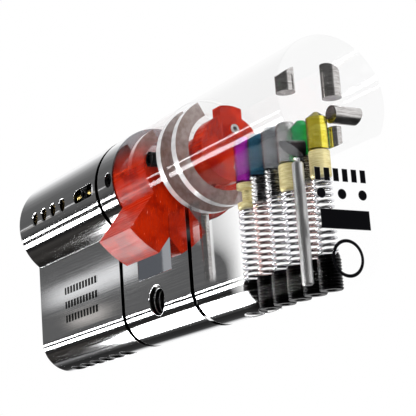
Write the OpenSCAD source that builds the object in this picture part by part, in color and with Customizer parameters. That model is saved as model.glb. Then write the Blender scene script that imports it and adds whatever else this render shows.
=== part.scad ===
// Euro profile double cylinder lock, assembled from its separate parts.
// X runs along the cylinder, Y across it, Z up. The origin is the centre of the fixing screw hole.
// The outside half is at +X. All sizes are in millimetres.

/* [Profile] */
// Diameter of the round barrel
barrel_d = 17; // [16.8:0.1:17.4]
// Width of the tail below the barrel
tail_w = 10; // [9.8:0.1:10.4]
// Height from the top of the barrel to the bottom of the tail
profile_h = 33; // [32.6:0.1:33.4]
// Length from the fixing screw to each end
half_l = 40; // [40:1:60]
// Height of the barrel axis above the fixing screw
axis_up = 19.4; // [19.2:0.1:19.6]

/* [Fixing screw and snap lines] */
// Core diameter of the tapped fixing hole
screw_d = 4.2; // [4:0.05:4.3]
// Distance from the fixing screw to each snap groove
snap_x = 10.35; // [10.2:0.05:10.6]
// Width of a snap groove
snap_w = 1; // [0.4:0.1:1.2]
// Depth of a snap groove
snap_depth = 0.5; // [0.2:0.1:0.8]

/* [Cam] */
// Width of the opening for the cam
cam_slot_w = 10; // [9.9:0.05:10.2]
// Depth of the cam opening below the barrel axis
cam_slot_depth = 15.6; // [15.3:0.1:16]
// Width of the cam
cam_w = 9.8; // [9.2:0.1:9.8]
// Reach of the cam nose from the barrel axis
cam_reach = 15; // [14:0.1:15.2]
// Width of the cam nose
nose_w = 5.6; // [5:0.1:7]
// Angle of the cam nose from straight down
cam_angle = 38; // [0:1:90]

/* [Plugs] */
// Diameter of the bore that each plug turns in
plug_bore_d = 12; // [11.9:0.05:12.1]
// Radial clearance between the plug and its bore
plug_gap = 0.05; // [0.02:0.01:0.08]
// Width of the keyway
keyway_w = 2.2; // [1.8:0.1:2.4]

/* [Pin stacks] */
// Distance from the fixing screw to the first pin stack
stack_x = 18.5; // [18.5:0.1:19]
// Spacing of the pin stacks
stack_pitch = 3.5; // [3.4:0.05:3.6]
// Diameter of the pins
pin_d = 2.8; // [2.6:0.05:2.8]
// Height of a driver pin
driver_h = 3.6; // [3.4:0.1:3.8]
// Wire diameter of the pin springs
wire_d = 0.4; // [0.3:0.05:0.4]
// Number of turns in a pin spring
spring_turns = 13; // [11:14]
// Height of the threaded plugs under the springs
grub_h = 4.4; // [4:0.1:4.6]
// Thread diameter of the threaded plugs
grub_d = 3.16; // [3.1:0.02:3.2]

/* [Hidden] */
$fn = 48;
e = 0.01;
br = barrel_d / 2;
tr = tail_w / 2;
tail_c = br - profile_h + tr;
bore_r = plug_bore_d / 2;
plug_r = bore_r - plug_gap;
pin_r = pin_d / 2;
chamber_r = pin_r + 0.05;
stack_n = 6;
end_cut = 0.4;
nose_z0 = 5;
cam_r = br - 0.2;
recess_r = br - 0.55;
clip_out_r = recess_r - 0.1;
clip_in_r = bore_r - 0.25;
clip_groove_r = clip_in_r - 0.05;
clip_t = 1.2;
clip_x = [7.7, 12.1];
clip_gap = 0.05;
clip_past = 0.3;
clip_at = 120;
sleeve_x = 5.3;
pocket_x = 15.5;
pocket_r = 4.9;
front_x = half_l - 0.1;
drive_x = 12.7;
stem_r = 3.6;
stem_x = 3;
dog_h = 1;
dog_w = 2.4;
tab_x0 = 13.4;
tab_x1 = pocket_x - 0.05;
tab_y0 = -1.4;
tab_y1 = 2.15;
tab_r = 6.2;
screw_y = 0.9;
screw_z = [2.85, -2.85];
head_r = 0.7;
key_top = 3.3;
key_low = -4;
chamber_top = 2.4;
shear_z = -bore_r - 0.05;
driver_low = shear_z - driver_h;
spring_top = driver_low - 0.05;
grub_low = -24.2;
grub_top = grub_low + grub_h;
spring_low = grub_top + 0.05;
spring_r = pin_r - wire_d / 2;
grub_bore_r = grub_d / 2 + 0.04;
thread_pitch = 0.4;
thread_depth = 0.14;
cam_bore_r = stem_r + 0.05;
spline_w = 1.2;
spline_r = 4.4;
clutch_x0 = -1;
clutch_x1 = 2.95;
clutch_slot = 1;
ring_x = -1.5;
brake_x = 6.35;
brake_r = 1.1;
brake_foot = 6.9;
brake_top = 8.25;
slot_x0 = -18.4;
slot_x1 = -11.4;
slot_r = 1.05;
side_z = 0.1;
side_floor = -7.1;
side_pin_r = 1;
side_pin_x = -22.8;
tail_pin_x = 6.65;
tail_pin_r = 0.75;
tail_rod_x = 35.8;
tail_rod_y = -3.4;
tail_rod_r = 0.75;
slant_r = 1.05;
slant_x = 37.2;
slant_y = -5.45;
slant_z = -6.5;
slant_angle = 17;
slant_deep = 1.9;
rod_low = -23.6;
rod_top = -7.7;
rod_cut = 0.2;
key_pin_top = [0.4, 0, 0, -0.4, -1.1, -0.9];
key_pin_tip = [0.9, 0.9, 0.9, 1.1, 0.6, 0.35];

// Which node to draw, or "all"

// ---- helpers ----

module on_axis() {
  translate([0, 0, axis_up]) children();
}

// A cylinder along X from x0 to x1.
module bar(r, x0, x1) {
  translate([x0, 0, 0]) rotate([0, 90, 0]) cylinder(r = r, h = x1 - x0);
}

// The half that points to -X is the mirror image of the one that points to +X.
module side(s) {
  if (s > 0) children();
  else mirror([1, 0, 0]) children();
}

function stack(i) = stack_x + i * stack_pitch;

// A round wire wound upwards from z = 0 to z = h, with a ring of points at each step.
module coil(r, wire, h, turns, steps = 8, sides = 5) {
  n = turns * steps;
  rise = h - wire;
  pts = [
    for (k = [0 : n], j = [0 : sides - 1])
      let (a = 360 * k / steps, b = 360 * j / sides, rr = r + wire / 2 * cos(b))
        [rr * cos(a), rr * sin(a), wire / 2 + rise * k / n + wire / 2 * sin(b)]
  ];
  walls = [
    for (k = [0 : n - 1], j = [0 : sides - 1])
      let (j2 = (j + 1) % sides)
        [k * sides + j, (k + 1) * sides + j, (k + 1) * sides + j2, k * sides + j2]
  ];
  first = [[for (j = [0 : sides - 1]) j]];
  last = [[for (j = [sides - 1 : -1 : 0]) n * sides + j]];
  polyhedron(points = pts, faces = concat(walls, first, last), convexity = 10);
}

// ---- housing ----

module barrel(r, cut) {
  bar(r, -half_l + cut, half_l - cut);
  if (cut > 0) {
    translate([half_l - cut - e, 0, 0]) rotate([0, 90, 0]) cylinder(r1 = r, r2 = r - cut, h = cut + e);
    translate([-half_l + cut + e, 0, 0]) rotate([0, -90, 0]) cylinder(r1 = r, r2 = r - cut, h = cut + e);
  }
}

module tail(inset) {
  translate([-half_l, -tr + inset, tail_c]) cube([2 * half_l, tail_w - 2 * inset, -tail_c]);
  translate([0, 0, tail_c]) bar(tr - inset, -half_l, half_l);
}

module snap_groove(x) {
  difference() {
    translate([x - snap_w / 2, -br - 1, -profile_h]) cube([snap_w, barrel_d + 2, profile_h + br + 1]);
    barrel(br - snap_depth, 0);
    tail(snap_depth);
  }
}

// What is cut for one half: the plug's bore, its clip grooves and the six pin chambers.
module half_cuts() {
  bar(bore_r, 0, half_l + 1);
  for (x = clip_x) bar(recess_r, x - clip_gap, x + clip_t + clip_gap);
  bar(tab_r + 0.1, tab_x0 - 0.1, tab_x1 + 0.1);
  for (i = [0 : stack_n - 1]) translate([stack(i), 0, 0]) {
    translate([0, 0, -profile_h]) cylinder(r = chamber_r, h = profile_h - bore_r / 2);
    translate([0, 0, -profile_h]) cylinder(r = grub_bore_r, h = profile_h + grub_top + 0.05);
  }
  translate([brake_x, 0, side_z]) rotate([90, 0, 0]) cylinder(r = brake_r + 0.04, h = br + 1);
}

module slot_cut(r, deep) {
  for (x = [slot_x0 + slot_r, slot_x1 - slot_r])
    translate([x, deep, side_z]) rotate([90, 0, 0]) cylinder(r = r, h = br + 1 + deep);
  translate([slot_x0 + slot_r, -br - 1, side_z - r])
    cube([slot_x1 - slot_x0 - 2 * slot_r, br + 1 + deep, 2 * r]);
}

module screw_cut() {
  translate([0, tail_w, -axis_up]) rotate([90, 0, 0]) cylinder(r = screw_d / 2, h = 2 * tail_w);
  for (s = [-1, 1]) translate([0, s * (tr - 0.3), -axis_up]) rotate([-90 * s, 0, 0])
    cylinder(r1 = screw_d / 2, r2 = screw_d / 2 + 0.35, h = 0.35);
}

// The slanted pin goes in through the flank of the barrel and is ground off flush with it.
module slant_pin_shape(r, deep) {
  translate([slant_x, slant_y, slant_z]) rotate([0, 0, -slant_angle]) rotate([-90, 0, 0])
    translate([0, 0, -br]) cylinder(r = r, h = br + deep);
}

module housing() {
  color([0.78, 0.79, 0.8]) on_axis() difference() {
    union() {
      barrel(br, end_cut);
      tail(0);
    }
    translate([-cam_slot_w / 2, -br - 1, -cam_slot_depth])
      cube([cam_slot_w, barrel_d + 2, cam_slot_depth + br + 1]);
    half_cuts();
    side(-1) half_cuts();
    snap_groove(snap_x);
    snap_groove(-snap_x);
    screw_cut();
    slot_cut(slot_r, side_floor);
    for (i = [0 : 3]) translate([side_pin_x - i * stack_pitch, side_floor, side_z]) rotate([90, 0, 0]) {
      cylinder(r = side_pin_r + 0.03, h = br);
      translate([0, 0, br + side_floor - 0.2]) cylinder(r1 = side_pin_r, r2 = side_pin_r + 0.3, h = 0.3);
    }
    translate([tail_pin_x, 0, -19]) cylinder(r = tail_pin_r + 0.02, h = 19);
    translate([tail_rod_x, tail_rod_y, -profile_h])
      cylinder(r = tail_rod_r + 0.02, h = profile_h + rod_top + 0.15);
    slant_pin_shape(slant_r + 0.02, slant_deep + 0.05);
  }
}

// ---- plugs and drives ----

module plug_body() {
  bar(plug_r, sleeve_x, front_x - end_cut);
  translate([front_x - end_cut - e, 0, 0]) rotate([0, 90, 0])
    cylinder(r1 = plug_r, r2 = plug_r - end_cut, h = end_cut + e);
}

// The keyway is stepped on both sides, so that only its own key blank goes in.
module keyway() {
  w = keyway_w / 2;
  rotate([90, 0, 90]) linear_extrude(half_l) polygon([
    [-w, key_low], [w, key_low], [w, -2.2], [w - 0.8, -1.7], [w - 0.8, -0.6], [w, -0.1],
    [w, 1.6], [w - 0.6, 2], [w - 0.6, key_top], [-w, key_top], [-w, 1], [-w + 0.7, 0.6],
    [-w + 0.7, -0.9], [-w, -1.3]
  ]);
}

module plug() {
  difference() {
    plug_body();
    bar(pocket_r, sleeve_x - 1, pocket_x);
    for (x = clip_x) difference() {
      bar(plug_r + 1, x - clip_gap, x + clip_t + clip_gap);
      bar(clip_groove_r, x - 1, x + 2);
    }
    translate([tab_x0 - 0.1, tab_y0 - 0.1, 3])
      cube([tab_x1 - tab_x0 + 0.2, tab_y1 - tab_y0 + 0.2, plug_r]);
    translate([pocket_x - e, 0, 0]) keyway();
    for (i = [0 : stack_n - 1]) translate([stack(i), 0, -plug_r - 1])
      cylinder(r = chamber_r, h = plug_r + 1 + chamber_top);
  }
}

// Each hardened pin sits in a blind hole and is ground off flush with the plug.
module drill_pin_shape(k, grow) {
  if (k == 0) translate([36.3, 2.65, 1.2 - grow]) cylinder(r = 1.3 + grow, h = plug_r);
  if (k == 1) translate([33.5, -2.65, 2.3 - grow]) cylinder(r = 1.3 + grow, h = plug_r);
  if (k == 2) translate([37.2, 1.55 - grow, -1.35]) rotate([-90, 0, 0]) cylinder(r = 1.2 + grow, h = plug_r);
  if (k == 3) translate([36.3, 2.6, -2.8 + grow]) mirror([0, 0, 1]) cylinder(r = 0.9 + grow, h = plug_r);
}

module drill_pin(k) {
  color([0.55, 0.56, 0.58]) on_axis() intersection() {
    drill_pin_shape(k, 0);
    bar(plug_r - 0.05, 30, half_l);
  }
}

module outer_plug() {
  color([0.85, 0.86, 0.88, 0.4]) on_axis() difference() {
    plug();
    for (k = [0 : 3]) drill_pin_shape(k, 0.02);
  }
}

module inner_plug() {
  color([0.8, 0.81, 0.83]) on_axis() side(-1) plug();
}

module drive(screws) {
  difference() {
    union() {
      bar(pocket_r - 0.05, drive_x, pocket_x - 0.05);
      bar(stem_r, stem_x, drive_x + e);
      intersection() {
        translate([tab_x0, tab_y0, 0]) cube([tab_x1 - tab_x0, tab_y1 - tab_y0, barrel_d]);
        bar(tab_r, tab_x0 - 1, tab_x1 + 1);
      }
      intersection() {
        translate([stem_x - dog_h, -dog_w / 2, -stem_r]) cube([dog_h + e, dog_w, 2 * stem_r]);
        bar(stem_r - 0.1, stem_x - dog_h, stem_x + 1);
      }
    }
    // A relief in the back face that lightens the drive.
    difference() {
      bar(4.3, drive_x - 1, drive_x + 1.2);
      bar(stem_r, drive_x - 1, drive_x + 2);
    }
    if (screws) for (z = screw_z)
      translate([pocket_x - 0.75, screw_y, z]) rotate([0, 90, 0]) cylinder(r = head_r + 0.02, h = 2);
  }
}

module outer_drive() {
  color([0.85, 0.16, 0.06]) on_axis() drive(true);
}

module inner_drive() {
  color([0.85, 0.16, 0.06]) on_axis() side(-1) drive(false);
}

module outer_drive_screws() {
  color([0.6, 0.58, 0.56]) on_axis() for (z = screw_z)
    translate([pocket_x - 0.75, screw_y, z]) rotate([0, 90, 0]) difference() {
      cylinder(r = head_r, h = 0.65);
      translate([0, 0, 0.25]) cylinder(r = 0.38, h = 1, $fn = 6);
    }
}

// ---- cam and clutch ----

module cam() {
  color([0.9, 0.2, 0.06]) on_axis() rotate([-cam_angle, 0, 0]) difference() {
    union() {
      bar(cam_r, -cam_w / 2, cam_w / 2);
      intersection() {
        translate([-cam_w / 2, -nose_w / 2, -cam_reach - 1]) cube([cam_w, nose_w, cam_reach + 1 - nose_z0]);
        bar(cam_reach, -cam_w / 2, cam_w / 2);
      }
    }
    bar(cam_bore_r, -cam_w, cam_w);
    bar(recess_r - 0.2, ring_x - clip_gap, ring_x + clip_t + clip_gap);
    for (s = [-1, 1]) translate([-cam_w, s * 2 - 2.5, -spline_w / 2 - 0.05])
      cube([2 * cam_w, 5, spline_w + 0.1]);
  }
}

module clutch() {
  color([0.8, 0.62, 0.2]) on_axis() rotate([-cam_angle, 0, 0]) difference() {
    union() {
      bar(stem_r, clutch_x0, clutch_x1);
      translate([clutch_x0, -spline_r, -spline_w / 2]) cube([clutch_x1 - clutch_x0, 2 * spline_r, spline_w]);
    }
    rotate([cam_angle, 0, 0]) {
      translate([clutch_x1 - clutch_slot, -dog_w / 2 - 0.05, -5]) cube([2, dog_w + 0.1, 10]);
      translate([clutch_x0 - 2 + clutch_slot, -dog_w / 2 - 0.05, -5]) cube([2, dog_w + 0.1, 10]);
    }
  }
}

// A ring of flat section that reaches just past its half, so that it grips its groove.
module clip(x, r_in, r_out) {
  translate([x, 0, 0]) rotate([clip_at, 0, 0]) difference() {
    bar(r_out, 0, clip_t);
    bar(r_in, -1, clip_t + 1);
    translate([-1, -br, -br - clip_past]) cube([clip_t + 2, barrel_d, br]);
  }
}

module cam_ring() {
  color([0.5, 0.42, 0.38]) on_axis() clip(ring_x, clip_in_r, recess_r - 0.3);
}

module outer_clip_a() {
  color([0.55, 0.5, 0.46]) on_axis() clip(clip_x[0], clip_in_r, clip_out_r);
}

module outer_clip_b() {
  color([0.55, 0.5, 0.46]) on_axis() clip(clip_x[1], clip_in_r, clip_out_r);
}

module inner_clip_a() {
  color([0.55, 0.5, 0.46]) on_axis() side(-1) clip(clip_x[0], clip_in_r, clip_out_r);
}

module inner_clip_b() {
  color([0.55, 0.5, 0.46]) on_axis() side(-1) clip(clip_x[1], clip_in_r, clip_out_r);
}

// ---- pin stacks ----

// A key pin is rounded to the plug at its foot and tapered at its tip.
module key_pin(i) {
  translate([stack(i), 0, 0]) intersection() {
    union() {
      translate([0, 0, -bore_r]) cylinder(r = pin_r, h = bore_r + key_pin_top[i] - 0.8);
      translate([0, 0, key_pin_top[i] - 0.8 - e]) cylinder(r1 = pin_r, r2 = key_pin_tip[i], h = 0.8 + e);
    }
    bar(plug_r, -pin_d, pin_d);
  }
}

// Driver pins come in three shapes: plain, spool and serrated.
module driver(i) {
  kind = [1, 2, 2, 0, 2, 0][i];
  translate([stack(i), 0, driver_low]) {
    if (kind == 0) rotate_extrude() polygon([
      [0, 0], [pin_r - 0.2, 0], [pin_r, 0.2], [pin_r, driver_h - 0.15],
      [pin_r - 0.15, driver_h], [0, driver_h]
    ]);
    if (kind == 1) rotate_extrude() polygon([
      [0, 0], [pin_r - 0.15, 0], [pin_r, 0.15], [pin_r, 0.8], [0.7, 1.1], [0.7, driver_h - 1.1],
      [pin_r, driver_h - 0.8], [pin_r, driver_h - 0.1], [pin_r - 0.1, driver_h], [0, driver_h]
    ]);
    if (kind == 2) rotate_extrude() polygon(concat(
      [[0, 0], [pin_r - 0.2, 0]],
      [for (k = [0 : 5], m = [0, 1]) [m == 0 ? pin_r : pin_r - 0.3, 0.2 + 0.55 * k + 0.3 * m]],
      [[pin_r, driver_h - 0.1], [pin_r - 0.1, driver_h], [0, driver_h]]
    ));
  }
}

module pin_spring(i) {
  translate([stack(i), 0, spring_low]) coil(spring_r, wire_d, spring_top - spring_low, spring_turns);
}

module grub_screws() {
  teeth = floor((grub_h - 0.4) / thread_pitch);
  for (i = [0 : stack_n - 1]) translate([stack(i), 0, grub_low]) difference() {
    rotate_extrude() polygon(concat(
      [[0, 0], [grub_d / 2 - thread_depth, 0]],
      [for (k = [0 : teeth - 1], m = [0, 1])
        [grub_d / 2 - thread_depth * m, 0.2 + thread_pitch * (k + m / 2)]],
      [[grub_d / 2 - thread_depth, grub_h], [0, grub_h]]
    ));
    translate([0, 0, -e]) cylinder(r = 0.8, h = 1.6, $fn = 6);
  }
}

module outer_key_pin(i, c) {
  color(c) on_axis() key_pin(i);
}

module inner_key_pin(i) {
  color([0.82, 0.68, 0.3]) on_axis() side(-1) key_pin(i);
}

module outer_driver(i, c) {
  color(c) on_axis() driver(i);
}

module inner_driver(i) {
  color([0.82, 0.68, 0.3]) on_axis() side(-1) driver(i);
}

module outer_spring(i) {
  color([0.8, 0.8, 0.82]) on_axis() pin_spring(i);
}

module inner_springs() {
  color([0.8, 0.8, 0.82]) on_axis() side(-1) for (i = [0 : stack_n - 1]) pin_spring(i);
}

module outer_grub_screws() {
  color([0.08, 0.08, 0.08]) on_axis() grub_screws();
}

module inner_grub_screws() {
  color([0.08, 0.08, 0.08]) on_axis() side(-1) grub_screws();
}

// ---- small parts in the sides and the tail ----

module brake_cap() {
  translate([brake_x, 0, side_z]) rotate([90, 0, 0]) difference() {
    translate([0, 0, brake_foot]) cylinder(r = brake_r, h = brake_top - brake_foot);
    translate([0, 0, brake_top - 0.25]) cylinder(r1 = 0.55, r2 = 0.7, h = 0.3);
  }
}

module brake_spring() {
  translate([brake_x, -bore_r - 0.05, side_z]) rotate([90, 0, 0])
    coil(0.75, 0.22, brake_foot - bore_r - 0.07, 2, 10);
}

module outer_brake_cap() {
  color([0.05, 0.05, 0.05]) on_axis() brake_cap();
}

module outer_brake_spring() {
  color([0.8, 0.66, 0.3]) on_axis() brake_spring();
}

module inner_brake_cap() {
  color([0.05, 0.05, 0.05]) on_axis() side(-1) brake_cap();
}

module inner_brake_spring() {
  color([0.8, 0.66, 0.3]) on_axis() side(-1) brake_spring();
}

module tail_rod() {
  rod_h = rod_top - rod_low;
  color([0.62, 0.63, 0.65]) on_axis() translate([tail_rod_x, tail_rod_y, rod_low]) {
    cylinder(r1 = tail_rod_r - rod_cut, r2 = tail_rod_r, h = rod_cut + e);
    translate([0, 0, rod_cut]) cylinder(r = tail_rod_r, h = rod_h - 2 * rod_cut);
    translate([0, 0, rod_h - rod_cut - e]) cylinder(r1 = tail_rod_r, r2 = tail_rod_r - rod_cut, h = rod_cut);
  }
}

module slanted_pin() {
  color([0.3, 0.3, 0.32]) on_axis() intersection() {
    slant_pin_shape(slant_r, slant_deep);
    bar(br - 0.02, 0, half_l);
  }
}

module tail_pin() {
  color([0.6, 0.6, 0.62]) on_axis() translate([tail_pin_x, 0, -18.9]) {
    cylinder(r = tail_pin_r, h = 11.6);
    translate([0, 0, 11.6 - e]) cylinder(r1 = tail_pin_r, r2 = tail_pin_r - 0.2, h = 0.2);
  }
}

module side_pins() {
  color([0.7, 0.55, 0.25]) on_axis() for (i = [0 : 3])
    translate([side_pin_x - i * stack_pitch, side_floor - 0.05, side_z]) rotate([90, 0, 0]) difference() {
      cylinder(r = side_pin_r, h = 0.9);
      translate([0, 0, 0.5]) cylinder(r1 = 0.35, r2 = 0.75, h = 0.5);
    }
}

module slot_bar() {
  color([0.06, 0.06, 0.06]) on_axis() difference() {
    translate([-16.6, -8.05, side_z - 0.95]) cube([2.05, 0.9, 1.9]);
    translate([-15.6, -8.2, side_z]) rotate([-90, 0, 0]) cylinder(r = 0.4, h = 0.5);
  }
}

module slot_springs() {
  color([0.8, 0.62, 0.2]) on_axis() for (p = [[-18.35, 1.7, 4], [-14.5, 1.1, 3]])
    translate([p[0], -7.65, side_z]) rotate([0, 90, 0]) coil(0.35, 0.2, p[1], p[2]);
}

// ---- the nodes ----

magenta = [0.75, 0.05, 0.7];
navy = [0.08, 0.2, 0.35];
grey = [0.45, 0.47, 0.5];
silver = [0.78, 0.8, 0.82];
green = [0.05, 0.7, 0.25];
yellow = [0.85, 0.75, 0.15];
brass = [0.82, 0.68, 0.3];

housing();
outer_plug();
inner_plug();
outer_drive();
inner_drive();
outer_drive_screws();
cam();
clutch();
cam_ring();
outer_clip_a();
outer_clip_b();
inner_clip_a();
inner_clip_b();
outer_key_pin(0, magenta);  // outer_key_pin_1
outer_key_pin(1, navy);  // outer_key_pin_2
outer_key_pin(2, grey);  // outer_key_pin_3
outer_key_pin(3, silver);  // outer_key_pin_4
outer_key_pin(4, green);  // outer_key_pin_5
outer_key_pin(5, yellow);  // outer_key_pin_6
outer_driver(0, brass);  // outer_driver_1
outer_driver(1, silver);  // outer_driver_2
outer_driver(2, silver);  // outer_driver_3
outer_driver(3, brass);  // outer_driver_4
outer_driver(4, silver);  // outer_driver_5
outer_driver(5, brass);  // outer_driver_6
outer_spring(0);  // outer_spring_1
outer_spring(1);  // outer_spring_2
outer_spring(2);  // outer_spring_3
outer_spring(3);  // outer_spring_4
outer_spring(4);  // outer_spring_5
outer_spring(5);  // outer_spring_6
outer_grub_screws();
inner_key_pin(0);  // inner_key_pin_1
inner_key_pin(1);  // inner_key_pin_2
inner_key_pin(2);  // inner_key_pin_3
inner_key_pin(3);  // inner_key_pin_4
inner_key_pin(4);  // inner_key_pin_5
inner_key_pin(5);  // inner_key_pin_6
inner_driver(0);  // inner_driver_1
inner_driver(1);  // inner_driver_2
inner_driver(2);  // inner_driver_3
inner_driver(3);  // inner_driver_4
inner_driver(4);  // inner_driver_5
inner_driver(5);  // inner_driver_6
inner_springs();
inner_grub_screws();
outer_brake_cap();
outer_brake_spring();
inner_brake_cap();
inner_brake_spring();
drill_pin(0);  // drill_pin_front
drill_pin(1);  // drill_pin_back
drill_pin(2);  // drill_pin_cross
drill_pin(3);  // drill_pin_low
tail_rod();
slanted_pin();
tail_pin();
side_pins();
slot_bar();
slot_springs();
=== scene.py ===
import math

import bmesh
import bpy
from mathutils import Matrix, Vector

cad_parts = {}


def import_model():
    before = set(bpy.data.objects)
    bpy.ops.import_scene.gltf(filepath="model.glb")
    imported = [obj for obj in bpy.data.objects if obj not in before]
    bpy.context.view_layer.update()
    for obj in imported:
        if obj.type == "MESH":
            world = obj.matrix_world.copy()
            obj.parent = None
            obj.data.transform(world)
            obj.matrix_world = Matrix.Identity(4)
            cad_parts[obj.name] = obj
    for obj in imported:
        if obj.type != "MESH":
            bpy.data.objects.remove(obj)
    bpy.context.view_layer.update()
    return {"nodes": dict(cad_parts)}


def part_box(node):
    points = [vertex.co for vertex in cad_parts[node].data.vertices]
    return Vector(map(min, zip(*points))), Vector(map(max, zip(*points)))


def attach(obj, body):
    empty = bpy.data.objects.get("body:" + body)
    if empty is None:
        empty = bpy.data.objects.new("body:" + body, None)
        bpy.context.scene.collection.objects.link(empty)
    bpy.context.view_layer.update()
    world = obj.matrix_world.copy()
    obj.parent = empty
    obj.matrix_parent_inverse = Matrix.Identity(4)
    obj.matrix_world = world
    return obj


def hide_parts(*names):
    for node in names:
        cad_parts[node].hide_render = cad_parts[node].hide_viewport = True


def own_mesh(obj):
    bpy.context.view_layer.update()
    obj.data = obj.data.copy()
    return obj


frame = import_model()

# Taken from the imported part, in metres in the row frame.
MM = 0.001
NODES = frame["nodes"]
CASE_LO, CASE_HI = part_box("housing")
BARREL_R = (CASE_HI.y - CASE_LO.y) / 2
AXIS_Z = CASE_HI.z - BARREL_R

# Where the case's skin and openings lie, in millimetres about the barrel axis.
END_FACE = CASE_HI.x / MM
TAIL_SIDE = -5.0
FOOT_Z = -19.5
OPENING_HALF = 5.1
GROOVE_X = 10.35
GROOVE_HALF = 0.505


# ---- node trees ----

class Graph:
    """Short calls for building one node tree. An input takes a socket or a plain value."""

    def __init__(self, tree):
        self.tree = tree
        tree.nodes.clear()

    def node(self, kind, inputs=None, out=0, **props):
        n = self.tree.nodes.new(kind)
        for key, value in props.items():
            setattr(n, key, value)
        for key, value in (inputs or {}).items():
            self.feed(n.inputs[key], value)
        return n.outputs[out] if out is not None else n

    def feed(self, socket, value):
        if isinstance(value, bpy.types.NodeSocket):
            self.tree.links.new(value, socket)
        else:
            socket.default_value = value

    def math(self, op, a, b=0.0):
        return self.node("ShaderNodeMath", {0: a, 1: b}, operation=op)

    def rest(self, value):
        """What is left of 1."""
        return self.math("SUBTRACT", 1.0, value)

    def length(self, a, b):
        """The length of a vector with parts a and b."""
        return self.math("SQRT", self.math("ADD", self.math("POWER", a, 2.0), self.math("POWER", b, 2.0)))

    def step(self, value, low, high, to_low=0.0, to_high=1.0):
        """A smooth change from to_low to to_high as value goes from low to high."""
        return self.node("ShaderNodeMapRange", {"Value": value, 1: low, 2: high, 3: to_low, 4: to_high},
                         interpolation_type="SMOOTHSTEP")

    def facing(self, blend):
        """0 where the surface faces the viewer, rising to 1 at its edges."""
        return self.node("ShaderNodeLayerWeight", {"Blend": blend}, out=1)

    def mix(self, factor, a, b):
        n = self.node("ShaderNodeMix", out=None, data_type="RGBA")
        self.feed(n.inputs[0], factor)
        self.feed(n.inputs[6], a)
        self.feed(n.inputs[7], b)
        return n.outputs[2]

    def ramp(self, factor, stops):
        n = self.node("ShaderNodeValToRGB", {"Fac": factor}, out=None)
        elements = n.color_ramp.elements
        while len(elements) < len(stops):
            elements.new(0.5)
        for element, (place, colour) in zip(elements, stops):
            element.position = place
            element.color = (*colour, 1)
        return n.outputs[0]

    def places(self):
        """Coordinates in millimetres about the barrel axis: the vector, then x, y and z."""
        coords = self.node("ShaderNodeTexCoord", out=3)
        moved = self.node("ShaderNodeMapping", {"Vector": coords, "Scale": (1000, 1000, 1000),
                                                "Location": (0, 0, -AXIS_Z / MM)})
        split = self.node("ShaderNodeSeparateXYZ", {0: moved}, out=None)
        return moved, split.outputs[0], split.outputs[1], split.outputs[2]

    def noise(self, coords, scale, detail=4.0, rough=0.55):
        """Noise from 0 to 1, stretched by a scale for each axis, per millimetre."""
        stretched = self.node("ShaderNodeMapping", {"Vector": coords, "Scale": scale})
        return self.node("ShaderNodeTexNoise", {"Vector": stretched, "Scale": 1.0, "Detail": detail,
                                                "Roughness": rough})

    def band(self, value, low, high, soft):
        """1 between low and high, 0 outside."""
        return self.math("MULTIPLY", self.step(value, low - soft, low + soft),
                         self.step(value, high - soft, high + soft, 1.0, 0.0))

    def all_of(self, *values):
        result = values[0]
        for value in values[1:]:
            result = self.math("MULTIPLY", result, value)
        return result

    def any_of(self, *values):
        result = values[0]
        for value in values[1:]:
            result = self.math("MAXIMUM", result, value)
        return result

    def bump(self, height, strength, distance, normal=None):
        inputs = {"Height": height, "Strength": strength, "Distance": distance}
        if normal is not None:
            inputs["Normal"] = normal
        return self.node("ShaderNodeBump", inputs)

    def surface(self, **inputs):
        """The Principled shader and the material output."""
        names = {key.replace("_", " "): value for key, value in inputs.items()}
        shader = self.node("ShaderNodeBsdfPrincipled", names)
        self.node("ShaderNodeOutputMaterial", {"Surface": shader}, out=None)


# ---- materials ----

def material(name):
    m = bpy.data.materials.new(name)
    m.use_nodes = True
    return m, Graph(m.node_tree)


def worn_metal(name, dark, light, rough, grain, metallic=1.0, side_shade=None):
    """Turned or drawn metal: grain is the noise scale for each axis, rough the roughness at its smoothest,
    and the last argument the colour of painted shade on the sides that turn away."""
    m, g = material(name)
    coords = g.places()[0]
    lines = g.noise(coords, grain, 5.0)
    cloud = g.noise(coords, (0.5, 0.5, 0.5), 3.0)
    blend = g.math("ADD", g.math("MULTIPLY", lines, 0.7), g.math("MULTIPLY", cloud, 0.3))
    colour = g.mix(g.step(blend, 0.35, 0.65), (*dark, 1), (*light, 1))
    if side_shade is not None:
        # Painted shade: the sides that turn away from the viewer are darkened towards this colour.
        colour = g.mix(g.step(g.facing(0.35), 0.22, 0.70), colour, (*side_shade, 1))
    g.surface(Base_Color=colour, Metallic=metallic, Roughness=g.step(blend, 0.3, 0.7, rough, rough + 0.12),
              Normal=g.bump(lines, 0.15, 0.00002))
    return m


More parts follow.
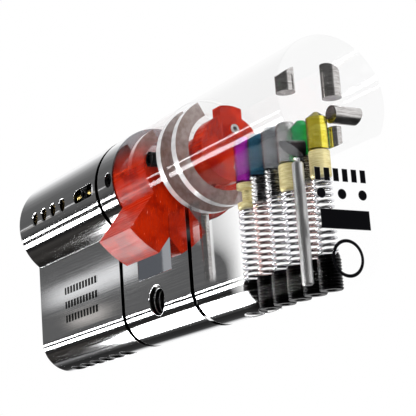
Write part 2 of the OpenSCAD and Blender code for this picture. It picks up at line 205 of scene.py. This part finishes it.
def case_ghost(g, x, y, z):
    """Opacity of the case: whole on the inside half, and fading along the tail of the outside half.
    Past the cam opening only the tail's near skin is drawn, so that its works show through the fade."""
    height = g.step(z, -20.0, -8.0)
    fade_from = g.step(height, 0.0, 1.0, 19.5, 6.5)
    fade_to = g.step(height, 0.0, 1.0, 23.5, 24.0)
    fade = g.node("ShaderNodeMapRange", {"Value": x, 1: fade_from, 2: fade_to, 3: 1.0, 4: 0.0})
    before_fade = g.step(x, 5.2, 5.4, 1.0, 0.0)
    near_side = g.step(y, -4.96, -4.9, 1.0, 0.0)
    foot_r = g.length(y, g.math("SUBTRACT", z, FOOT_Z))
    foot = g.all_of(g.step(z, FOOT_Z - 0.1, FOOT_Z + 0.1, 1.0, 0.0), g.step(foot_r, 4.86, 4.92))
    groove_floor = g.any_of(g.step(y, -4.45, -4.4, 1.0, 0.0), g.step(z, -23.9, -23.8, 1.0, 0.0))
    groove = g.all_of(g.band(x, GROOVE_X - 0.55, GROOVE_X + 0.55, 0.01), groove_floor)
    near = g.any_of(before_fade, near_side, foot, groove)
    front = g.rest(g.node("ShaderNodeNewGeometry", out="Backfacing"))
    by_tail_pin = g.all_of(g.band(x, 13.8, 16.8, 0.4), g.band(z, -19.2, -7.5, 1.0))
    tail = g.all_of(fade, near, front, g.step(by_tail_pin, 0.0, 1.0, 1.0, 0.42))
    barrel = g.step(x, 2.0, 3.0, 1.0, 0.0)
    in_tail = g.step(z, -8.2, -7.0, 1.0, 0.0)
    return g.math("ADD", g.math("MULTIPLY", tail, in_tail), g.math("MULTIPLY", barrel, g.rest(in_tail)))


def end_marks(g, x, y, z):
    """Plain marks on the outside end face: a row of dashes, three dots, a bar and a ring."""
    dash_pitch, dot_pitch, dot_z, ring_z = 1.4, 3.2, -12.7, -20.9
    dashes = g.all_of(g.band(z, -11.1, -9.4, 0.05), g.band(y, -4.2, 4.2, 0.02),
                      g.step(g.math("PINGPONG", y, dash_pitch / 2), 0.22, 0.3))
    dot_r = g.length(g.math("PINGPONG", y, dot_pitch / 2), g.math("SUBTRACT", z, dot_z))
    dots = g.all_of(g.step(dot_r, 0.63, 0.72, 1.0, 0.0), g.band(y, -4.4, 4.4, 0.02))
    bar = g.all_of(g.band(z, -17.2, -14.7, 0.05), g.band(y, -3.6, 4.0, 0.05))
    ring = g.band(g.length(y, g.math("SUBTRACT", z, ring_z)), 2.0, 2.45, 0.05)
    return g.all_of(g.step(x, END_FACE - 0.1, END_FACE - 0.05), g.any_of(dashes, dots, bar, ring))


def side_marks(g, x, y, z):
    """Plain marks on the near side of the tail: three rows of short dashes."""
    row_pitch, first_row_z, dash_pitch = 2.3, -12.6, 1.1
    rows = g.step(g.math("PINGPONG", g.math("SUBTRACT", z, first_row_z), row_pitch / 2), 0.55, 0.62, 1.0, 0.0)
    dashes = g.step(g.math("PINGPONG", x, dash_pitch / 2), 0.12, 0.18)
    return g.all_of(g.step(y, TAIL_SIDE + 0.02, TAIL_SIDE + 0.01), rows, dashes,
                    g.band(z, -18.2, -11.9, 0.02), g.band(x, -30.5, -18.5, 0.02))


def polished_case():
    """Polished case with black printed marks, and painted shade in its grooves, cam opening and bores."""
    m, g = material("polished_case")
    coords, x, y, z = g.places()
    lines = g.noise(coords, (0.05, 7.0, 7.0), 6.0, 0.6)
    cloud = g.noise(coords, (0.12, 0.5, 0.5), 3.0)
    metal = g.mix(g.step(lines, 0.35, 0.65), (0.80, 0.81, 0.83, 1), (0.93, 0.93, 0.94, 1))
    # Painted shade: the walls of the cam opening are darkened to a grey.
    opening_shade = g.all_of(g.band(x, -OPENING_HALF, OPENING_HALF, 0.05), g.step(z, -15.4, -15.3))
    metal = g.mix(opening_shade, metal, (0.30, 0.31, 0.33, 1))

    barrel_r = g.length(y, z)
    tail_r = g.length(y, g.math("MINIMUM", g.math("SUBTRACT", z, FOOT_Z), 0.0))
    under_barrel = g.step(barrel_r, 8.30, 8.36, 1.0, 0.0)
    under_tail = g.step(tail_r, 4.84, 4.88, 1.0, 0.0)
    bore_shade = g.all_of(g.any_of(under_barrel, under_tail), g.band(x, 0.5 - END_FACE, END_FACE - 0.5, 0.1),
                        g.rest(g.band(x, -OPENING_HALF, OPENING_HALF, 0.02)))
    fixing_hole_shade = g.all_of(under_tail, g.step(z, -16.4, -16.2, 1.0, 0.0))
    # Painted shade: inside the bores and the fixing hole the metal is painted near black.
    metal = g.mix(g.any_of(bore_shade, fixing_hole_shade), metal, (0.035, 0.034, 0.032, 1))

    # Painted shade: the grooves around the case are painted black.
    from_groove = g.math("ABSOLUTE", g.math("SUBTRACT", g.math("ABSOLUTE", x), GROOVE_X))
    groove = g.step(from_groove, GROOVE_HALF, GROOVE_HALF + 0.01, 1.0, 0.0)
    on_end = end_marks(g, x, y, z)
    # Black print on the end and the near side, together with the painted shade of the grooves.
    print_and_groove_shade = g.any_of(groove, on_end, side_marks(g, x, y, z))
    colour = g.mix(print_and_groove_shade, metal, (0.004, 0.004, 0.005, 1))

    skin = g.all_of(g.step(barrel_r, 8.30, 8.40), g.step(z, -4.5, -4.1))
    shell = g.math("ADD", g.step(g.facing(0.25), 0.6, 1.0, 0.003, 0.05), g.math("MULTIPLY", skin, 0.055))
    soft_edges = g.node("ShaderNodeBevel", {"Radius": 0.00012}, samples=4)
    g.surface(Base_Color=colour, Metallic=1.0,
              Roughness=g.math("ADD", g.step(lines, 0.3, 0.75, 0.02, 0.07), g.math("MULTIPLY", cloud, 0.03)),
              Normal=g.bump(lines, 0.05, 0.00002, soft_edges),
              Alpha=g.any_of(case_ghost(g, x, y, z), shell, on_end))
    return m


def clear_plug():
    """The ghosted outside plug: a clear shell, with a brown sleeve over its pins."""
    m, g = material("clear_plug")
    coords, x, y, z = g.places()
    lines = g.noise(coords, (0.05, 5.0, 5.0), 5.0)
    sleeve = g.step(x, 15.2, 15.8, 1.0, 0.0)
    tint = g.mix(lines, (0.42, 0.24, 0.20, 1), (0.80, 0.58, 0.54, 1))
    clear = g.mix(lines, (0.80, 0.80, 0.82, 1), (0.95, 0.95, 0.96, 1))
    shell = g.step(g.facing(0.3), 0.6, 1.0, 0.002, 0.07)
    g.surface(Base_Color=g.mix(sleeve, clear, tint), Metallic=1.0,
              Roughness=g.step(lines, 0.3, 0.7, 0.03, 0.10), Normal=g.bump(lines, 0.08, 0.00002),
              Alpha=g.math("ADD", shell, g.math("MULTIPLY", sleeve, 0.035)))
    return m


def red_gloss(name, clear, open_top):
    """Glossy red metal with fine streaks along the axis: smoother and rougher streaks, and painted highlight
    streaks of light red and pinkish white. Its sides that turn away are painted a plain deep red as painted
    shade. Clear is how far it lets the parts inside show, and open_top fades its upper part so that the ring
    and the clutch inside are seen."""
    m, g = material(name)
    coords, x, y, z = g.places()
    lines = g.noise(coords, (0.08, 4.5, 4.5), 5.0)
    cloud = g.noise(coords, (0.35, 0.35, 0.35), 3.0)
    facing = g.facing(0.4)
    body = g.mix(g.step(cloud, 0.35, 0.65), (0.22, 0.003, 0.0003, 1), (0.46, 0.016, 0.001, 1))
    solid = g.step(facing, 0.2, 0.9, 1.0 - clear, 1.0)
    if open_top:
        solid = g.math("MULTIPLY", solid, g.step(z, -2.5, 5.0, 1.0, 0.05))
    # Streaks along the axis: they vary the roughness, and the brighter ones are painted highlights in light
    # red and pinkish white.
    streaks_and_painted_highlights = g.noise(coords, (0.04, 7.0, 0.9), 6.0, 0.7)
    body = g.mix(g.step(streaks_and_painted_highlights, 0.45, 0.75), body, (0.70, 0.040, 0.004, 1))
    body = g.mix(g.step(streaks_and_painted_highlights, 0.64, 0.74, 0.0, 0.8), body, (1.0, 0.62, 0.52, 1))
    # Painted shade: the sides that turn away go to a plain deep red, without the highlight streaks.
    g.surface(Base_Color=g.mix(g.step(facing, 0.35, 0.98), body, (0.40, 0.02, 0.004, 1)),
              Roughness=g.step(streaks_and_painted_highlights, 0.35, 0.65, 0.42, 0.06), Normal=g.bump(lines, 0.35, 0.00003),
              Alpha=solid, Specular_IOR_Level=0.12)
    return m


def clip_steel():
    """Thin spring steel: smoky flat faces, and rims painted bright white as a highlight."""
    m, g = material("clip_steel")
    coords = g.places()[0]
    lines = g.noise(coords, (0.3, 1.2, 1.2), 2.0)
    normal = g.node("ShaderNodeTexCoord", out=1)
    across = g.math("ABSOLUTE", g.node("ShaderNodeSeparateXYZ", {0: normal}, out=0))
    flat = g.step(across, 0.6, 0.8)
    face = g.mix(g.step(lines, 0.3, 0.7), (0.20, 0.14, 0.12, 1), (0.30, 0.235, 0.215, 1))
    # Painted highlight: the rims are painted bright white.
    rim_highlight = g.mix(g.step(lines, 0.3, 0.7), (0.80, 0.80, 0.80, 1), (1.0, 1.0, 1.0, 1))
    g.surface(Base_Color=g.mix(flat, rim_highlight, face), Metallic=g.step(flat, 0.0, 1.0, 0.35, 0.2),
              Roughness=g.step(flat, 0.0, 1.0, 0.22, 0.3), Normal=g.bump(lines, 0.10, 0.00002),
              Alpha=g.step(flat, 0.0, 1.0, 0.88, 0.66))
    return m


def thread_steel():
    """Cut thread about the fixing hole's axis: metal crests, and roots painted near black as painted shade.
    """
    m, g = material("thread_steel")
    coords, x, y, z = g.places()
    r = g.length(x, g.math("ADD", z, AXIS_Z / MM))
    cloud = g.noise(coords, (2.0, 2.0, 2.0), 3.0)
    crest = g.mix(g.step(cloud, 0.3, 0.7), (0.35, 0.35, 0.36, 1), (0.70, 0.70, 0.71, 1))
    # Painted shade: the thread's roots, away from the hole's axis, are painted near black.
    g.surface(Base_Color=g.mix(g.step(r, 1.89, 1.95), crest, (0.006, 0.006, 0.006, 1)), Metallic=1.0,
              Roughness=g.step(cloud, 0.3, 0.7, 0.35, 0.5))
    return m


def anodised(name, shade, tint):
    """A coloured pin, with painted shade darkening it towards its sides, and lines around it from turning."""
    # The last colour, a near black of the pin's own hue, is the painted shade for its sides.
    return worn_metal(name, shade, tint, 0.12, (0.6, 0.6, 9.0), 0.85, tuple(c * 0.06 for c in shade))


# The darkest and lightest colour, the smoothest roughness and the grain of each plain metal.
METALS = {
    "plug_chrome": ((0.62, 0.63, 0.65), (0.86, 0.87, 0.88), 0.08, (4.0, 0.4, 0.4)),
    "hard_steel": ((0.42, 0.40, 0.39), (0.75, 0.73, 0.72), 0.10, (0.4, 0.4, 6.0)),
    "satin_steel": ((0.62, 0.62, 0.62), (0.86, 0.86, 0.86), 0.34, (1.5, 1.5, 0.2)),
    "spring_steel": ((0.70, 0.70, 0.72), (0.92, 0.92, 0.94), 0.12, (2.0, 2.0, 2.0)),
    "spring_red": ((0.70, 0.52, 0.50), (0.92, 0.80, 0.78), 0.14, (2.0, 2.0, 2.0)),
    "pin_steel": ((0.22, 0.22, 0.22), (0.52, 0.52, 0.53), 0.20, (0.8, 0.8, 7.0)),
    "gold_spring": ((0.55, 0.38, 0.10), (0.90, 0.72, 0.30), 0.18, (2.0, 2.0, 2.0)),
    "black_steel": ((0.003, 0.003, 0.003), (0.012, 0.012, 0.014), 0.28, (3.0, 3.0, 0.3)),
    "side_pin": ((0.03, 0.022, 0.010), (0.14, 0.10, 0.04), 0.30, (2.0, 2.0, 2.0)),
}

# The darkest and lightest colour of each coloured key pin, from the cam outwards.
ANODISED = {
    "pin_magenta": ((0.50, 0.02, 0.50), (0.90, 0.06, 0.88)),
    "pin_navy": ((0.02, 0.07, 0.12), (0.06, 0.26, 0.42)),
    "pin_grey": ((0.26, 0.28, 0.31), (0.55, 0.57, 0.60)),
    "pin_silver": ((0.55, 0.55, 0.55), (0.88, 0.88, 0.88)),
    "pin_green": ((0.005, 0.35, 0.08), (0.03, 0.90, 0.25)),
    "pin_yellow": ((0.75, 0.60, 0.02), (1.0, 0.92, 0.18)),
}

MATERIALS = {
    "polished_case": polished_case(),
    "clear_plug": clear_plug(),
    "red_drive": red_gloss("red_drive", 0.06, False),
    "red_cam": red_gloss("red_cam", 0.12, True),
    "clip_steel": clip_steel(),
    "thread_steel": thread_steel(),
    "pin_brass": worn_metal("pin_brass", (0.62, 0.52, 0.22), (0.86, 0.77, 0.42), 0.32, (0.8, 0.8, 7.0), 0.55),
}
for name, look in METALS.items():
    MATERIALS[name] = worn_metal(name, *look)
for name, look in ANODISED.items():
    MATERIALS[name] = anodised(name, *look)


# ---- which node wears which material ----

OUTER_DRIVERS = ("pin_brass", "pin_steel", "pin_steel", "pin_brass", "pin_steel", "pin_brass")
LOOK = {
    "housing": "polished_case", "outer_plug": "clear_plug", "inner_plug": "plug_chrome",
    "outer_drive": "red_drive", "inner_drive": "red_drive", "cam": "red_cam", "clutch": "gold_spring",
    "cam_ring": "clip_steel", "outer_drive_screws": "hard_steel",
    "outer_grub_screws": "black_steel", "inner_grub_screws": "black_steel",
    "outer_brake_cap": "black_steel", "inner_brake_cap": "black_steel",
    "outer_brake_spring": "gold_spring", "inner_brake_spring": "gold_spring",
    "tail_rod": "satin_steel", "slanted_pin": "black_steel", "tail_pin": "hard_steel",
    "side_pins": "side_pin", "slot_bar": "black_steel", "slot_springs": "gold_spring",
}
for half in ("outer", "inner"):
    for letter in "ab":
        LOOK[f"{half}_clip_{letter}"] = "clip_steel"
for part in ("front", "back", "cross", "low"):
    LOOK[f"drill_pin_{part}"] = "hard_steel"
for i, (key_pin, driver) in enumerate(zip(ANODISED, OUTER_DRIVERS), start=1):
    LOOK[f"outer_key_pin_{i}"] = key_pin
    LOOK[f"inner_key_pin_{i}"] = "pin_brass"
    LOOK[f"outer_driver_{i}"] = driver
    LOOK[f"inner_driver_{i}"] = "pin_steel"

for name, look in LOOK.items():
    mesh = NODES[name].data
    mesh.materials.clear()
    mesh.materials.append(MATERIALS[look])


# ---- pieces made here ----

def closed_skin(made, rings):
    """Joins rings of points into a closed skin with a flat face at each end."""
    for a, b in zip(rings, rings[1:]):
        for j in range(len(a)):
            k = (j + 1) % len(a)
            made.faces.new((a[j], a[k], b[k], b[j]))
    made.faces.new(list(reversed(rings[0])))
    made.faces.new(rings[-1])
    bmesh.ops.recalc_face_normals(made, faces=made.faces)


def new_piece(name, made, look):
    """Turns a bmesh into an object that wears one material."""
    mesh = bpy.data.meshes.new(name)
    made.to_mesh(mesh)
    made.free()
    mesh.materials.append(MATERIALS[look])
    piece = bpy.data.objects.new(name, mesh)
    bpy.context.scene.collection.objects.link(piece)
    return piece


def tube(name, points, radius, look, sides=10):
    """A closed round tube that follows the points and narrows at its two ends."""
    end_share = 0.55
    made = bmesh.new()
    rings = []
    side = None
    for k, p in enumerate(points):
        ahead = (points[min(k + 1, len(points) - 1)] - points[max(k - 1, 0)]).normalized()
        side = ahead.orthogonal() if side is None else side - ahead * side.dot(ahead)
        side.normalize()
        up = ahead.cross(side)
        size = radius * (end_share if k in (0, len(points) - 1) else 1.0)
        rings.append([made.verts.new(p + size * (math.cos(a) * side + math.sin(a) * up))
                      for a in (2 * math.pi * j / sides for j in range(sides))])
    closed_skin(made, rings)
    piece = new_piece(name, made, look)
    for face in piece.data.polygons:
        face.use_smooth = len(face.vertices) == 4
    return piece


def coil_points(base, axis, height, mean_r, wire_r, turns, closed=1.0):
    """The centreline of a spring that stands on base along axis. The closed turns at each end touch."""
    steps = 22
    axis = axis.normalized()
    side = axis.orthogonal().normalized()
    up = axis.cross(side)
    n = int(turns * steps)
    rise = height - 2 * wire_r
    flat = 2.1 * wire_r / rise
    points = []
    for k in range(n + 1):
        t = turns * k / n
        if t < closed:
            share = flat * t
        elif t > turns - closed:
            share = 1 - flat * (turns - t)
        else:
            share = flat * closed + (1 - 2 * flat * closed) * (t - closed) / (turns - 2 * closed)
        a = 2 * math.pi * t
        around = math.cos(a) * side + math.sin(a) * up
        points.append(base + axis * (wire_r + rise * share) + mean_r * around)
    return points


def pin_spring(name, box, stands_in_for, look):
    """A fine pin spring in the box of its CAD solid."""
    turns, wire_r = 13, 0.19 * MM
    lo, hi = box
    middle = Vector(((lo.x + hi.x) / 2, (lo.y + hi.y) / 2, lo.z))
    mean_r = (hi.x - lo.x) / 2 - wire_r
    points = coil_points(middle, Vector((0, 0, 1)), hi.z - lo.z, mean_r, wire_r, turns)
    piece = tube(name, points, wire_r, look)
    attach(piece, "housing")
    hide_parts(stands_in_for)
    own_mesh(piece)


RED_SPRINGS = (2, 5)
for i in range(1, 7):
    lo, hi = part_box(f"outer_spring_{i}")
    mirrored = (Vector((-hi.x, lo.y, lo.z)), Vector((-lo.x, hi.y, hi.z)))
    look = "spring_red" if i in RED_SPRINGS else "spring_steel"
    pin_spring(f"outer_fine_spring_{i}", (lo, hi), f"outer_spring_{i}", look)
    pin_spring(f"inner_fine_spring_{i}", mirrored, "inner_springs", "spring_steel")


def brake_spring(name, node):
    """A fine spring across the case, in the box of its CAD node."""
    turns, wire_r, closed = 3, 0.11 * MM, 0.75
    across = Vector((0, 1, 0))
    lo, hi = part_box(node)
    length = hi.y - lo.y
    base = (lo + hi) / 2 - across * length / 2
    points = coil_points(base, across, length, (hi.x - lo.x) / 2 - wire_r, wire_r, turns, closed)
    piece = tube(name, points, wire_r, "gold_spring", 8)
    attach(piece, "housing")
    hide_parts(node)


for half in ("outer", "inner"):
    brake_spring(f"{half}_brake_fine_spring", f"{half}_brake_spring")


def fixing_thread():
    """The M5 thread in the fixing hole: a helical ridge that stands in from the hole's wall."""
    crest_r, root_r, pitch = 1.86 * MM, 2.1 * MM, 0.8 * MM
    crest_half, root_half = 0.048 * MM, 0.272 * MM
    thread_half, steps = 4.6 * MM, 36
    section = ((-root_half, root_r), (-crest_half, crest_r), (crest_half, crest_r), (root_half, root_r))
    made = bmesh.new()
    rings = []
    n = int(2 * thread_half / pitch * steps)
    for k in range(n + 1):
        a = 2 * math.pi * k / steps
        y = -thread_half + 2 * thread_half * k / n
        rings.append([made.verts.new((r * math.cos(a), y + dy, r * math.sin(a))) for dy, r in section])
    closed_skin(made, rings)
    piece = new_piece("fixing_thread", made, "thread_steel")
    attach(piece, "housing")


fixing_thread()


# ---- studio ----

# Brightness of the reflected studio around the X axis, by degrees from +Y towards +Z.
SKY = (
    (0, 1.0), (57, 1.0), (67, 0.83), (77, 0.62), (87, 0.42), (97, 0.27), (107, 0.18), (120, 0.125),
    (154, 0.11), (166, 0.12), (176, 0.09), (182, 0.04), (208, 0.03), (212, 0.010), (220, 0.048),
    (232, 0.030), (240, 0.045), (254, 0.014), (262, 0.05), (266, 0.25), (276, 0.09), (288, 0.022),
    (306, 0.03), (322, 0.06), (334, 0.6), (345, 1.0), (360, 1.0),
)
WARM_FROM, WARM_TO = 220, 254
WARM, NEUTRAL = (1.0, 0.93, 0.87), (1.0, 1.0, 1.0)


def world():
    """Reflections see the banded studio, the camera sees white, and diffuse light is an even grey."""
    w = bpy.data.worlds.new("studio")
    bpy.context.scene.world = w
    w.use_nodes = True
    g = Graph(w.node_tree)
    direction = g.node("ShaderNodeTexCoord", out=0)
    split = g.node("ShaderNodeSeparateXYZ", {0: direction}, out=None)
    turn = g.math("ARCTAN2", split.outputs[2], split.outputs[1])
    share = g.math("FRACT", g.math("ADD", g.math("DIVIDE", turn, 2 * math.pi), 1.0))
    stops = []
    for degrees, level in SKY:
        tint = WARM if WARM_FROM <= degrees <= WARM_TO else NEUTRAL
        stops.append((degrees / 360, tuple(level * c for c in tint)))
    gradient = g.ramp(share, stops)
    seen = g.node("ShaderNodeLightPath", out=0)
    diffuse = g.node("ShaderNodeLightPath", out=2)
    colour = g.mix(diffuse, g.mix(seen, gradient, (1.0, 1.0, 1.0, 1)), (0.50, 0.50, 0.52, 1))
    back = g.node("ShaderNodeBackground", {"Color": colour, "Strength": 1.0})
    g.node("ShaderNodeOutputWorld", {"Surface": back}, out=None)


def sheet(name, corners):
    """A four-cornered sheet that stands in the studio."""
    mesh = bpy.data.meshes.new(name)
    mesh.from_pydata(corners, [], [(0, 1, 2, 3)])
    o = bpy.data.objects.new(name, mesh)
    bpy.context.scene.collection.objects.link(o)
    return o


def card(name, corners, strength, soft=0.02, colour=NEUTRAL):
    """A glowing card that only reflections show, with corners in millimetres. Its light falls off
    over the share soft of its sides."""
    o = sheet(name, [Vector(c) * MM for c in corners])
    uv = o.data.uv_layers.new(name="across")
    for loop, place in zip(uv.data, ((0, 0), (1, 0), (1, 1), (0, 1))):
        loop.uv = place
    m, g = material(name)
    across = g.node("ShaderNodeSeparateXYZ", {0: g.node("ShaderNodeUVMap", uv_map="across")}, out=None)
    fall = g.all_of(*(g.step(g.math("PINGPONG", across.outputs[k], 0.5), 0.0, soft) for k in (0, 1)))
    light = g.math("MULTIPLY", fall, strength)
    glow = g.node("ShaderNodeEmission", {"Color": (*colour, 1), "Strength": light})
    clear = g.node("ShaderNodeBsdfTransparent", {"Color": (1, 1, 1, 1)})
    both = g.node("ShaderNodeMixShader", {0: fall, 1: clear, 2: glow})
    g.node("ShaderNodeOutputMaterial", {"Surface": both}, out=None)
    o.data.materials.append(m)
    o.visible_camera = False
    o.visible_diffuse = False
    o.visible_shadow = False


def upright(x0, x1, y, z0, z1):
    """The corners of an upright card that faces along Y."""
    return [(x0, y, z0), (x1, y, z0), (x1, y, z1), (x0, y, z1)]


def area(name, place, size, power):
    """A soft lamp that points at the object and stays out of its reflections, in metres and watts."""
    lamp = bpy.data.lights.new(name, "AREA")
    lamp.shape = "DISK"
    lamp.size = size
    lamp.energy = power
    o = bpy.data.objects.new(name, lamp)
    o.location = place
    o.rotation_mode = "QUATERNION"
    o.rotation_quaternion = (Vector((0, 0, 0.01)) - Vector(place)).to_track_quat("-Z", "Y")
    bpy.context.scene.collection.objects.link(o)
    o.visible_glossy = False
    o.visible_camera = False


def floor():
    """A pale, finely speckled floor that reflections don't show."""
    top, half = -0.045, 3.0
    o = sheet("floor", [(-half, -half, top), (half, -half, top), (half, half, top), (-half, half, top)])
    m, g = material("floor")
    coords = g.node("ShaderNodeTexCoord", out=3)
    speckle = g.node("ShaderNodeTexNoise", {"Vector": coords, "Scale": 40.0, "Detail": 3.0})
    g.surface(Base_Color=g.mix(speckle, (0.86, 0.86, 0.86, 1), (0.90, 0.90, 0.90, 1)), Roughness=0.7)
    o.data.materials.append(m)
    o.visible_glossy = False


def camera():
    """The photograph's viewpoint: from below and from the outside end."""
    azimuth, elevation, roll = math.radians(58.24), math.radians(-12.70), math.radians(-4.25)
    place = (0.17757, -0.10497, -0.03262)
    back = Vector((math.sin(azimuth) * math.cos(elevation), -math.cos(azimuth) * math.cos(elevation),
                   math.sin(elevation)))
    right = (-back).cross(Vector((0, 0, 1))).normalized()
    up = back.cross(right)
    c, s = math.cos(roll), math.sin(roll)
    right, up = c * right + s * up, c * up - s * right
    data = bpy.data.cameras.new("camera")
    data.lens = 122.33
    data.sensor_width = 36
    data.clip_start, data.clip_end = 0.01, 20
    o = bpy.data.objects.new("camera", data)
    turned = Matrix((right, up, back)).transposed().to_4x4()
    turned.translation = place
    o.matrix_world = turned
    bpy.context.scene.collection.objects.link(o)
    bpy.context.scene.camera = o


world()
card("strip_thin", upright(-520, 20, -156, -5.0, 3.5), 12)
card("strip_wide", upright(-520, 20, -156, -57, -31), 12)
card("band_high", upright(-660, -420, -270, 99, 121), 0.85, 0.35)
card("band_low", upright(-600, -505, -270, 84, 99), 0.6, 0.4, (1, 0.95, 0.9))
card("card_low", [(-400, -175, -150), (-150, -175, -150), (-150, 8, -150), (-262, 8, -150)], 12, 0.06)
area("key", (0.25, -0.35, 0.35), 0.30, 3.0)
area("fill", (0.30, 0.10, -0.03), 0.20, 0.6)
area("low", (-0.12, -0.30, -0.25), 0.25, 1.6)
floor()
camera()
bpy.context.scene.view_settings.view_transform = "Standard"
bpy.context.scene.cycles.transparent_max_bounces = 32
